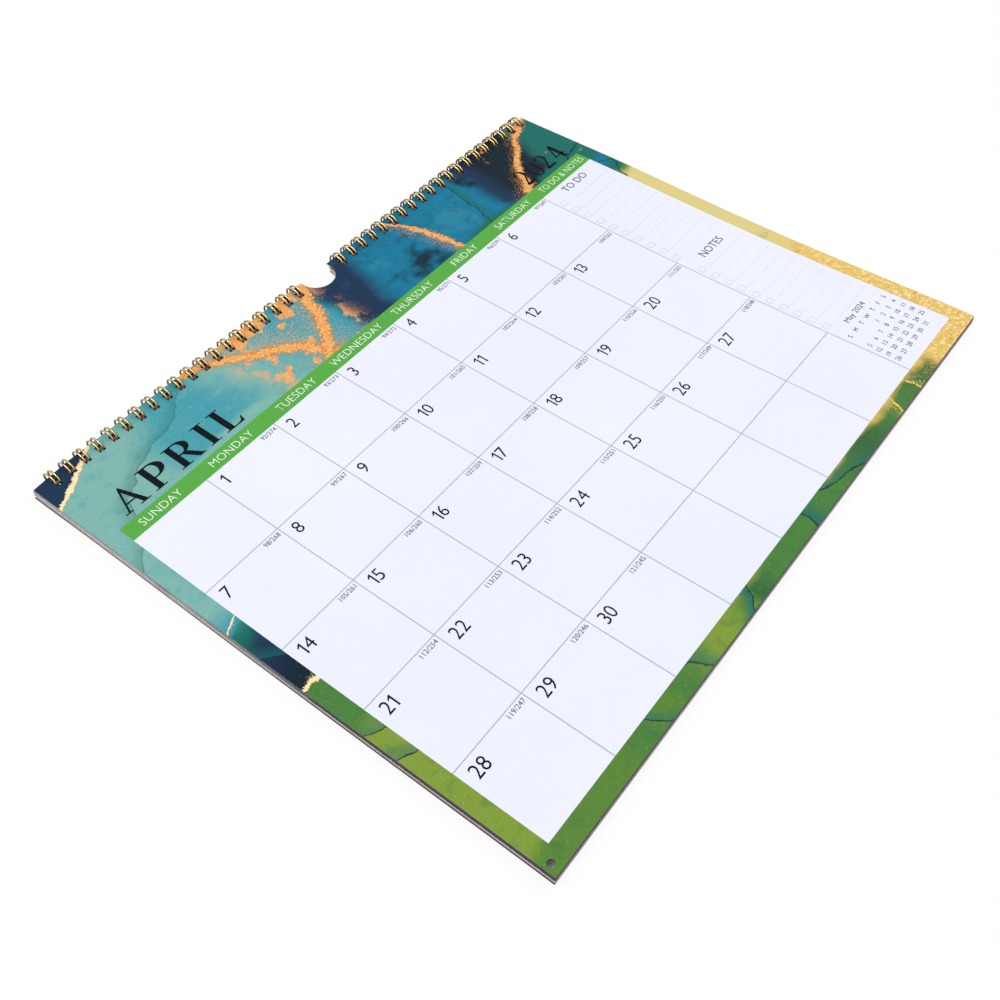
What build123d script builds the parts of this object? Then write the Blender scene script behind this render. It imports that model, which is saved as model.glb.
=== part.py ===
from build123d import *
import math
import os

# Wire-bound wall calendar lying on its back, open at one month.
# +X runs to the right along the leaves, +Y runs up the page to the bound edge and +Z
# points out of the page. All sizes are in millimetres.

# Leaves, cover and board
page_width = 372.0
page_height = 295.0
leaf_thickness = 0.2
remaining_count = 8
turned_count = 3
cover_thickness = 0.25
board_thickness = 1.0
air_under_cover = 0.16

# How far each lower layer slips to the left of the open leaf and below it
block_slip = (-0.5, -0.3)
board_slip = (-0.9, -0.5)
cover_slip = (-1.3, -0.6)
turned_slip = (-0.8, -0.4)

# Twin-loop wire
hole_pitch = 25.4 / 3
wire_diameter = 0.86
loop_radius = 4.6
pair_spacing = 2.3
spine_bend_radius = 0.6
seam_clearance = 0.12
seam_closing_gap = 0.64
row_offset = 1.8
least_margin = 4.0

# Where the stack sits in the loops: the open leaf's face above the loops' centre line,
# and its bound edge beyond that line
face_above_centre = 1.9
edge_beyond_centre = 1.4

# Punched holes
hole_side_clearance = 0.22
hole_clearance = 0.15
hole_below_wire = 0.4

# Thumb notch and corner hole
notch_radius = 10.0
notch_drop = 1.2
notch_web = 2.0
corner_hole_radius = 1.75
corner_hole_from_left = 3.2
corner_hole_from_bottom = 4.5

# Printed fields on the open leaf
ink_thickness = 0.05
panel_left = 8.8
panel_right_margin = 9.3
panel_bottom_margin = 9.6
band_top = 48.8
band_height = 9.6
line_width = 0.5
day_columns = 7
week_rows = 5
notes_width = 47.3

panel_width = page_width - panel_left - panel_right_margin

# Heights of the layers, with the loops' lowest point at zero
wire_radius = wire_diameter / 2
centre_z = loop_radius + wire_radius
face_z = centre_z + face_above_centre
open_leaf_z = face_z - leaf_thickness
block_z = open_leaf_z - remaining_count * leaf_thickness
board_z = block_z - board_thickness
seam_height = wire_diameter + 2 * seam_clearance
cover_z = board_z - seam_height - cover_thickness
turned_z = cover_z - air_under_cover - turned_count * leaf_thickness

# Plan position: the outline of everything is centred on the origin
leftmost_slip = min(block_slip[0], board_slip[0], cover_slip[0], turned_slip[0], 0.0)
lowest_slip = min(block_slip[1], board_slip[1], cover_slip[1], turned_slip[1], 0.0)
page_left = -(page_width + leftmost_slip) / 2
loop_reach = centre_z - edge_beyond_centre
page_top = (page_height - lowest_slip - loop_reach) / 2
page_middle = page_left + page_width / 2
loop_line_y = page_top - edge_beyond_centre
row_centre_x = page_middle + row_offset

# Holes on each side of the notch, as many as fit between it and the leaf's edge
hole_width = pair_spacing + wire_diameter + 2 * hole_side_clearance
first_hole = math.ceil((notch_radius + notch_web + hole_width / 2) / hole_pitch)
half_row = page_width / 2 - row_offset - least_margin - hole_width / 2
last_hole = math.floor(half_row / hole_pitch)


def loop_positions(side):
    """Middle of each loop pair on the left (-1) or right (+1) of the notch."""
    return [row_centre_x + side * i * hole_pitch for i in range(first_hole, last_hole + 1)]


def hole_span():
    """Nearest and furthest wall of a punched hole, measured from the bound edge.

    A leaf turns about the line of its bound edge at the height of the loops' centre. The
    wire crosses it furthest from the edge at rest and nearest when it is turned over.
    """
    nearest = loop_radius
    for degrees in range(0, 181, 5):
        angle = math.radians(degrees)
        height = edge_beyond_centre * math.sin(angle) + face_above_centre
        across = math.sqrt(loop_radius**2 - height**2)
        half_cut = wire_radius * loop_radius / across
        nearest = min(nearest, edge_beyond_centre * math.cos(angle) + across - half_cut)
    furthest = edge_beyond_centre + loop_radius + wire_radius
    return nearest - hole_clearance, furthest + hole_clearance + hole_below_wire


def cuts():
    """Punched holes, thumb notch and corner hole, the same through every layer."""
    near, far = hole_span()
    hole_y = page_top - (near + far) / 2
    shapes = [
        Pos(x, hole_y) * Rectangle(hole_width, far - near)
        for side in (-1, 1)
        for x in loop_positions(side)
    ]
    shapes.append(Pos(row_centre_x, page_top - notch_drop) * Circle(notch_radius))
    corner_x = page_left + corner_hole_from_left
    corner_y = page_top - page_height + corner_hole_from_bottom
    shapes.append(Pos(corner_x, corner_y) * Circle(corner_hole_radius))
    return shapes


def sheet(slip, thickness, bottom_z):
    """One flat layer, slipped by its own amount but punched in line with the rest."""
    centre = Pos(page_middle + slip[0], page_top - page_height / 2 + slip[1])
    outline = centre * Rectangle(page_width, page_height) - cuts()
    return Pos(0, 0, bottom_z) * extrude(outline, amount=thickness)


def box_on_page(left, top, width, height):
    """Rectangle placed by its distance from the open leaf's left and top edges."""
    return Pos(page_left + left + width / 2, page_top - top - height / 2) * Rectangle(width, height)


def printed(outline):
    """Thin layer of ink on the open leaf's face."""
    return Pos(0, 0, face_z) * extrude(outline, amount=ink_thickness)


def border_print():
    """Printed field round the date panel, punched with the leaf."""
    panel_height = page_height - band_top - panel_bottom_margin
    whole = box_on_page(0, 0, page_width, page_height)
    return printed(whole - box_on_page(panel_left, band_top, panel_width, panel_height) - cuts())


def weekday_band():
    """Bar of colour over the date columns."""
    return printed(box_on_page(panel_left, band_top, panel_width, band_height))


def date_grid():
    """Ruled lines between the days and the weeks."""
    rows_top = band_top + band_height
    rows_height = page_height - panel_bottom_margin - rows_top
    row_height = rows_height / week_rows
    column_width = (panel_width - notes_width) / day_columns
    upright = [panel_left + c * column_width - line_width / 2 for c in range(1, day_columns + 1)]
    level = [rows_top + r * row_height - line_width / 2 for r in range(1, week_rows)]
    lines = [box_on_page(left, rows_top, line_width, rows_height) for left in upright]
    lines += [box_on_page(panel_left, top, panel_width - notes_width, line_width) for top in level]
    return printed(Sketch() + lines)


def loop_point(x, angle, radius=loop_radius):
    """Point on a loop, with the angle in degrees from +Y towards +Z."""
    turn = math.radians(angle)
    return Vector(x, loop_line_y + radius * math.cos(turn), centre_z + radius * math.sin(turn))


def along_loop(angle):
    """Direction in which the angle of a loop grows."""
    turn = math.radians(angle)
    return Vector(0, -math.sin(turn), math.cos(turn))


def loop_arc(x, start, end):
    """Round stretch of a loop between two angles."""
    return ThreePointArc(loop_point(x, start), loop_point(x, (start + end) / 2), loop_point(x, end))


def twin_loop_wire(side):
    """One length of wire: a loop pair through each hole, joined by the spine."""
    spine_z = board_z - seam_height / 2
    bend_angle = math.degrees(spine_bend_radius / loop_radius)
    spine_angle = 180 + math.degrees(math.asin((centre_z - spine_z) / loop_radius))
    start_angle = spine_angle - bend_angle
    tip_angle = spine_angle + math.degrees(seam_closing_gap / loop_radius)
    turn_angle = tip_angle + math.degrees(pair_spacing / 2 / loop_radius) - 360
    right = Vector(1, 0, 0)
    back = along_loop(start_angle)
    tip = along_loop(turn_angle) * -1
    corner = 1 - math.sqrt(0.5)
    edges = []
    spine_end = None
    for x in sorted(loop_positions(side)):
        up = x - pair_spacing / 2
        down = x + pair_spacing / 2
        leg_start = loop_point(up, start_angle)
        leg_end = loop_point(down, start_angle)
        into = leg_start + (back - right) * spine_bend_radius
        into_middle = leg_start + (back * math.sqrt(0.5) - right * corner) * spine_bend_radius
        out = leg_end + (back + right) * spine_bend_radius
        out_middle = leg_end + (back * math.sqrt(0.5) + right * corner) * spine_bend_radius
        tip_start = loop_point(up, turn_angle)
        tip_end = loop_point(down, turn_angle)
        tip_middle = (tip_start + tip_end) * 0.5 + tip * (pair_spacing / 2)
        if spine_end is not None:
            edges.append(Line(spine_end, into))
            edges.append(ThreePointArc(into, into_middle, leg_start))
        edges.append(loop_arc(up, start_angle, turn_angle))
        edges.append(ThreePointArc(tip_start, tip_middle, tip_end))
        edges.append(loop_arc(down, turn_angle, start_angle))
        edges.append(ThreePointArc(leg_end, out_middle, out))
        spine_end = out
    edges.pop()
    path = Wire(edges)
    section = Plane(origin=path @ 0, z_dir=path % 0) * Circle(wire_radius)
    return sweep(section, path=path)


pieces = {
    "open_leaf": sheet((0.0, 0.0), leaf_thickness, open_leaf_z),
    "remaining_leaves": sheet(block_slip, remaining_count * leaf_thickness, block_z),
    "back_board": sheet(board_slip, board_thickness, board_z),
    "front_cover": sheet(cover_slip, cover_thickness, cover_z),
    "turned_leaves": sheet(turned_slip, turned_count * leaf_thickness, turned_z),
    "wire_left": twin_loop_wire(-1),
    "wire_right": twin_loop_wire(1),
    "border_print": border_print(),
    "weekday_band": weekday_band(),
    "date_grid": date_grid(),
}

os.makedirs("parts", exist_ok=True)
for name, piece in pieces.items():
    export_step(piece, f"parts/{name}.step")
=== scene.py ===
"""Wall calendar bound with gold twin-loop wire, lying open at one month."""

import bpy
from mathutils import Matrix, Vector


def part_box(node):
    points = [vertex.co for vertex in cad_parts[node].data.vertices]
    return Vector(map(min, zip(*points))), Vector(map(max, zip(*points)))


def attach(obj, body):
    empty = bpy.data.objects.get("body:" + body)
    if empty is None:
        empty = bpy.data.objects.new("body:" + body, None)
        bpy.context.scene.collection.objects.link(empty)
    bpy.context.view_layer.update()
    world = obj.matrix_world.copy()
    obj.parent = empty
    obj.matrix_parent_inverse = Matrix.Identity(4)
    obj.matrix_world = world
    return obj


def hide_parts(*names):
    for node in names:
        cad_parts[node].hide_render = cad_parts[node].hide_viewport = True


bl_info = {
    "name": "Wire-bound wall calendar",
    "version": (1, 0, 0),
    "blender": (4, 5, 0),
    "location": "View3D > Sidebar > Calendar",
    "description": "Dresses the calendar's leaves, prints and wires, and sets the stage",
    "category": "Object",
}

import calendar
import math
from types import SimpleNamespace

import bmesh
import bpy
from bpy.props import FloatProperty, FloatVectorProperty, IntProperty, PointerProperty
from mathutils import Matrix, Vector

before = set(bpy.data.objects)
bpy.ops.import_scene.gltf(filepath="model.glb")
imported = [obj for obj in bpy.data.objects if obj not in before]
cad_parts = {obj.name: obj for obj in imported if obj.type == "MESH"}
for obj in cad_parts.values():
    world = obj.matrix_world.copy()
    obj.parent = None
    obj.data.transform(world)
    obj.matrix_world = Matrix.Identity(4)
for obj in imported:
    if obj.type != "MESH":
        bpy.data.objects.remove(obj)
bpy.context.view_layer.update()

MM = 0.001
PITCH = 25.4 / 3 * MM
leaf_low, leaf_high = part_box("open_leaf")
ink_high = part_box("border_print")[1]
wire_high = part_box("wire_left")[1]


def length(name, description, default):
    """Property for a length in metres."""
    return FloatProperty(name=name, description=description, default=default, unit="LENGTH", precision=5)


def colour(name, description, default):
    """Property for a linear colour."""
    return FloatVectorProperty(
        name=name, description=description, default=default, subtype="COLOR", size=3, min=0.0, max=1.0
    )


# Settings


class PageSettings(bpy.types.PropertyGroup):
    """Places of the printed things, measured from the open leaf's left and top edges."""

    panel_left: length("Panel left", "Left edge of the date panel", 8.8 * MM)
    panel_right: length("Panel right", "Border to the right of the panel", 9.3 * MM)
    panel_bottom: length("Panel bottom", "Border under the panel", 9.6 * MM)
    band_top: length("Bar top", "Top of the weekday bar", 48.8 * MM)
    band_height: length("Bar height", "Height of the weekday bar", 9.6 * MM)
    notes_width: length("Notes width", "Width of the column for notes", 47.3 * MM)
    year: IntProperty(name="Year", description="Year of the open month", default=2024, min=1)
    month: IntProperty(name="Month", description="Open month", default=4, min=1, max=12)
    week_rows: IntProperty(name="Week rows", description="Rows of days", default=5, min=4, max=6)
    number_height: length("Day number", "Height of a day's number", 6.7 * MM)
    name_middle: length("First weekday", "Middle of the first weekday's name", 29.05 * MM)
    name_pitch: length("Weekday pitch", "Distance from one weekday's name to the next", 44.05 * MM)
    count_height: length("Day count", "Height of the small day counts", 2.5 * MM)
    weekday_height: length("Weekday", "Height of the weekday names", 4.5 * MM)
    title_left: length("Title left", "Left edge of the month's name", 16.1 * MM)
    title_height: length("Title", "Height of the month's name", 16.0 * MM)
    title_baseline: length("Title baseline", "Foot of the month's name", 45.5 * MM)
    year_left: length("Year left", "Left edge of the year", 320.3 * MM)
    year_height: length("Year", "Height of the year", 14.0 * MM)
    year_baseline: length("Year baseline", "Foot of the year", 45.2 * MM)
    ink_depth: length("Ink", "Thickness of the lettering", 0.03 * MM)
    hollow: length("Hollow", "How far the middle of the stack sags", 1.25 * MM)
    side_hollow: length("Side hollow", "How much further its right side sags", 0.75 * MM)
    closing: length("Closing", "How far the cover closes up to the board", 0.85 * MM)
    bow: length("Bow", "How far the open leaf's bound edge bows out between its corners", 1.4 * MM)
    bow_run: length("Bow run", "Distance from a corner over which the bow grows", 20 * MM)


class InkSettings(bpy.types.PropertyGroup):
    """Colours of the paper and the inks."""

    paper: colour("Paper", "Coated white paper", (0.775, 0.797, 0.915))
    black: colour("Black", "Lettering", (0.002, 0.004, 0.006))
    grey: colour("Grey", "Small grey lettering", (0.10, 0.10, 0.11))
    rule: colour("Rule", "Ruled grid lines", (0.40, 0.41, 0.45))
    faint: colour("Faint rule", "Lines of the notes", (0.62, 0.64, 0.72))
    green: colour("Green", "Weekday bar", (0.090, 0.355, 0.056))
    black_blue: colour("Black blue", "Deepest ink of the border", (0.004, 0.012, 0.022))
    navy: colour("Navy", "Dark blue ink of the border", (0.010, 0.030, 0.072))
    blue: colour("Blue", "Blue ink of the border", (0.008, 0.170, 0.290))
    sky: colour("Sky", "Light blue ink of the border", (0.050, 0.300, 0.370))
    sea_green: colour("Sea green", "Palest ink of the border", (0.190, 0.415, 0.370))
    deep_green: colour("Deep green", "Blue-green ink of the border", (0.010, 0.135, 0.115))
    leaf_green: colour("Leaf green", "Green ink of the border", (0.062, 0.195, 0.042))
    forest: colour("Forest", "Darkest green ink of the border", (0.036, 0.125, 0.042))
    moss: colour("Moss", "Mid green ink of the border", (0.090, 0.215, 0.034))
    olive: colour("Olive", "Yellow-green ink of the border", (0.195, 0.300, 0.040))
    straw: colour("Straw", "Yellow ink of the border", (0.660, 0.570, 0.230))
    umber: colour("Umber", "Brown specks in the leaf gold", (0.220, 0.120, 0.020))
    foil: colour("Foil", "Yellow gold at the free corner", (0.740, 0.500, 0.120))
    gold: colour("Gold", "Orange gold of the veins", (0.780, 0.330, 0.080))
    pale_gold: colour("Pale gold", "Pale flakes of gold", (1.0, 0.740, 0.420))


class WireSettings(bpy.types.PropertyGroup):
    """Sizes of the twin-loop wire, thicker than the solid by its coating and drawn out a little."""

    diameter: length("Wire", "Diameter of the wire with its coating", 0.98 * MM)
    loop_radius: length("Loop radius", "Radius of a loop's centre line", 4.6 * MM)
    pitch: length("Pitch", "Distance from one pair of loops to the next", PITCH)
    pair_spacing: length("Pair spacing", "Distance between the two strands of a pair", 2.3 * MM)
    bend: length("Bend", "Radius of the bend between a loop and the spine", 0.6 * MM)
    closing_gap: length("Closing gap", "How far the tips reach past the spine", 0.64 * MM)
    spine_drop: length("Spine drop", "Depth of the spine under the loops' centre", 1.45 * MM)
    stretch: length("Stretch", "How far the loops' free sides are drawn out", 0.9 * MM)
    gold: colour("Gold", "Colour of the wire", (0.95, 0.66, 0.25))
    # Brown for the painted shade and dark reflection on the wire.
    brown: colour("Brown", "Colour of the wire where it's tarnished", (0.075, 0.024, 0.007))


class StageSettings(bpy.types.PropertyGroup):
    """Camera, floor and lights."""

    camera: FloatVectorProperty(
        name="Camera",
        description="Camera's place from the open leaf's top left corner",
        default=(-128.54 * MM, -369.87 * MM, 406.86 * MM),
        subtype="XYZ",
        unit="LENGTH",
    )
    looking: FloatVectorProperty(
        name="Looking", description="Direction of the view", default=(0.48997, 0.37915, -0.78497)
    )
    upward: FloatVectorProperty(
        name="Upward", description="Direction that is up in the view", default=(0.62357, 0.47680, 0.61955)
    )
    lens: FloatProperty(name="Lens", description="Focal length in millimetres", default=41.04, unit="CAMERA")
    floor_size: length("Floor", "Side of the floor", 12.0)
    notch_view: FloatVectorProperty(
        name="Seen through the notch",
        description="Middle of the bright floor that shows through the thumb notch",
        default=(6.5 * MM, 148.0 * MM),
        size=2,
        unit="LENGTH",
    )


# Shader maths


class Reading:
    """A shader value that can be used in sums like a number."""

    def __init__(self, finish, socket):
        self.finish = finish
        self.socket = socket

    def maths(self, operation, *others):
        return self.finish.maths(operation, self, *others)

    def __add__(self, other):
        return self.maths("ADD", other)

    def __radd__(self, other):
        return self.finish.maths("ADD", other, self)

    def __sub__(self, other):
        return self.maths("SUBTRACT", other)

    def __rsub__(self, other):
        return self.finish.maths("SUBTRACT", other, self)

    def __mul__(self, other):
        return self.maths("MULTIPLY", other)

    def __rmul__(self, other):
        return self.finish.maths("MULTIPLY", other, self)

    def __truediv__(self, other):
        return self.maths("DIVIDE", other)

    def distance(self, other):
        """How far the value is from another, never below zero."""
        return (self - other).maths("ABSOLUTE")

    def limited(self):
        """The value held between nought and one."""
        return self.maths("MAXIMUM", 0.0).maths("MINIMUM", 1.0)

    def between(self, low, high):
        """Nought below low, one above high and smooth on the way, or turned round."""
        flip = low > high
        stretch = self.finish.node(
            "ShaderNodeMapRange",
            {"interpolation_type": "SMOOTHSTEP"},
            {"Value": self, "From Min": min(low, high), "From Max": max(low, high)},
        )
        share = Reading(self.finish, stretch.outputs["Result"])
        return 1 - share if flip else share


class Finish:
    """A material made of nodes."""

    def __init__(self, name):
        self.material = bpy.data.materials.new(name)
        self.material.use_nodes = True
        self.tree = self.material.node_tree
        self.shader = self.tree.nodes["Principled BSDF"]
        coordinates = self.node("ShaderNodeTexCoord")
        self.place = coordinates.outputs["Object"]
        self.facing = coordinates.outputs["Normal"]

    def node(self, kind, settings=None, values=None):
        """Add a node: its settings first, then the values or links of its sockets."""
        node = self.tree.nodes.new(kind)
        for key, setting in (settings or {}).items():
            if key == "stops":
                self.set_stops(node.color_ramp, setting)
            else:
                setattr(node, key, setting)
        for key, value in (values or {}).items():
            self.feed(node.inputs[key], value)
        return node

    def set_stops(self, ramp, stops):
        """Give a ramp its colours, each with its place from nought to one."""
        while len(ramp.elements) < len(stops):
            ramp.elements.new(1.0)
        for element, (place, shade) in zip(ramp.elements, stops):
            element.position = place
            element.color = (*shade, 1.0)

    def feed(self, socket, value):
        """Link a socket to a reading or another socket, or set its value."""
        if isinstance(value, Reading):
            value = value.socket
        if isinstance(value, bpy.types.NodeSocket):
            self.tree.links.new(value, socket)
        elif socket.type == "RGBA":
            socket.default_value = (*value, 1.0)[:4]
        else:
            socket.default_value = value

    def maths(self, operation, *values):
        """One Math node on readings and numbers."""
        node = self.node("ShaderNodeMath", {"operation": operation}, dict(enumerate(values)))
        return Reading(self, node.outputs[0])

    def axis(self, letter, vector=None):
        """One coordinate of a vector, or of the place on the object in metres."""
        split = self.node("ShaderNodeSeparateXYZ", None, {"Vector": vector or self.place})
        return Reading(self, split.outputs[letter])

    def attribute(self, name):
        """Value kept with the mesh's own points."""
        return Reading(self, self.node("ShaderNodeAttribute", {"attribute_name": name}).outputs["Fac"])

    def stretched(self, scale):
        """The place with each coordinate multiplied."""
        node = self.node("ShaderNodeVectorMath", {"operation": "MULTIPLY"}, {0: self.place, 1: scale})
        return node.outputs[0]

    def noise(self, scale, detail=2.0, roughness=0.5, vector=None, output="Fac"):
        """Cloudy pattern whose scale is in features per metre."""
        node = self.node(
            "ShaderNodeTexNoise",
            None,
            {"Vector": vector or self.place, "Scale": scale, "Detail": detail, "Roughness": roughness},
        )
        return Reading(self, node.outputs[output])

    def warped(self, amount, scale, detail=2.0, vector=None):
        """The place pushed about by a cloudy pattern, by up to about half of amount."""
        push = self.noise(scale, detail, vector=vector, output="Color").socket
        centred = self.node("ShaderNodeVectorMath", {"operation": "SUBTRACT"}, {0: push, 1: (0.5, 0.5, 0.5)})
        scaled = self.node(
            "ShaderNodeVectorMath",
            {"operation": "SCALE"},
            {0: centred.outputs[0], "Scale": amount},
        )
        moved = self.node(
            "ShaderNodeVectorMath", {"operation": "ADD"}, {0: vector or self.place, 1: scaled.outputs[0]}
        )
        return moved.outputs[0]

    def mix(self, share, first, second):
        """Colour between two colours."""
        node = self.node(
            "ShaderNodeMix",
            {"data_type": "RGBA"},
            {0: share, 6: first, 7: second},
        )
        return node.outputs[2]

    def ramp(self, value, stops):
        """Colour read off a row of colours that run smoothly into each other."""
        node = self.node("ShaderNodeValToRGB", {"stops": stops}, {"Fac": value})
        node.color_ramp.interpolation = "EASE"
        return node.outputs["Color"]

    def bump(self, height, strength, depth):
        """Small relief under the finish."""
        node = self.node(
            "ShaderNodeBump", None, {"Height": height, "Strength": strength, "Distance": depth}
        )
        self.feed(self.shader.inputs["Normal"], node.outputs["Normal"])

    def seen_plainly(self):
        """One for rays from the eye, off metal or through glass, and nought for all others."""
        rays = self.node("ShaderNodeLightPath")
        seen = self.maths("MAXIMUM", rays.outputs["Is Camera Ray"], rays.outputs["Is Glossy Ray"])
        return seen.maths("MAXIMUM", rays.outputs["Is Transmission Ray"])

    def surface(self, **sockets):
        """Set the shader's sockets, with spaces in their names written as underscores."""
        for key, value in sockets.items():
            self.feed(self.shader.inputs[key.replace("_", " ")], value)
        return self.material


class Surroundings(Finish):
    """The light from all round, made of nodes in the same way as a material."""

    def __init__(self, name):
        self.world = bpy.data.worlds.new(name)
        self.world.use_nodes = True
        self.tree = self.world.node_tree
        self.shader = self.tree.nodes["Background"]


# Finishes


def coated_paper(name, tone):
    """Smooth coated paper with faint fibres and a slight unevenness of tone."""
    finish = Finish(name)
    cloud = finish.noise(9.0, 3.0)
    fibre = finish.noise(2600.0, 3.0, vector=finish.stretched((1.0, 0.35, 1.0)))
    shade = tuple(channel * 0.955 for channel in tone)
    share = (cloud * 0.6 + fibre * 0.4).between(0.35, 0.65)
    finish.bump(fibre, 0.12, 0.00003)
    return finish.surface(
        Base_Color=finish.mix(share, shade, tone),
        Roughness=0.42 + fibre * 0.08,
        Specular_IOR_Level=0.35,
    )


def flat_ink(name, tone):
    """Even printed ink in which the paper's grain shows a little."""
    finish = Finish(name)
    grain = finish.noise(1900.0, 2.0)
    lighter = tuple(min(1.0, channel * 1.10 + 0.002) for channel in tone)
    return finish.surface(
        Base_Color=finish.mix(grain.between(0.3, 0.75), tone, lighter),
        Roughness=0.5 + grain * 0.1,
        Specular_IOR_Level=0.06,
    )


class Marbling:
    """Fields of ink that have flowed into each other, with creases and veins of gold dust.

    Its places and widths are in millimetres from the open leaf's left and top edges.
    """

    def __init__(self, finish, inks):
        self.finish = finish
        self.inks = inks
        self.slow = finish.warped(0.040, 14.0, 1.0)
        flowing = finish.warped(0.0075, 95.0, 4.0, self.slow)
        self.across = (finish.axis("X", flowing) - leaf_low.x) * 1000.0
        self.down = (leaf_high.y - finish.axis("Y", flowing)) * 1000.0
        self.grains = finish.noise(750.0, 2.0, 0.7)
        self.sand = finish.noise(1900.0, 1.0)
        self.colour = None

    def field(self, reading, size, *stops):
        """Row of colours along the page, with their places in millimetres."""
        return self.finish.ramp(reading / size, [(place / size, shade) for place, shade in stops])

    def over(self, share, shade):
        """Lay a colour over what is there."""
        self.colour = self.finish.mix(share, self.colour, shade)

    def line(self, x0, y0, x1, y1):
        """Distance in millimetres from the line through two points, above nought to its left."""
        run = math.hypot(x1 - x0, y1 - y0)
        normal = ((y1 - y0) / run, (x0 - x1) / run)
        return self.across * normal[0] + self.down * normal[1] - (x0 * normal[0] + y0 * normal[1])

    def crease(self, distance, depth=0.5, ink=0.85, reach=1.0):
        """Thin dark line with a soft shade on one side of it."""
        soft = distance.between(9.0, 0.0) * distance.between(-0.4, 0.0)
        self.over(soft * depth * reach, self.inks.deep_green)
        self.over(distance.distance(0.0).between(0.55, 0.15) * ink * reach, self.inks.black_blue)

    def flakes(self, shade):
        """Grains of gold with paler flakes among them."""
        return self.finish.mix(self.grains.between(0.46, 0.70) * 0.5, shade, self.inks.pale_gold)

    def vein(self, distance, width, spread, shade, reach=1.0):
        """Band of gold with ragged edges that thins out to dust on one side."""
        core = (1 - distance.distance(0.0) / width) + (self.grains - 0.5) * 2.2
        dense = (1 - distance / spread).limited() * distance.between(-width * 0.5, 0.0)
        dust = (self.sand + dense * 0.20).between(0.70, 0.76) * dense.between(0.0, 0.2)
        burnt = tuple(channel * 0.55 for channel in shade)
        self.over(dust * reach, shade)
        self.over(core.between(0.05, 0.3) * reach, burnt)
        self.over(core.between(0.25, 0.6) * reach, self.flakes(shade))


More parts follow.
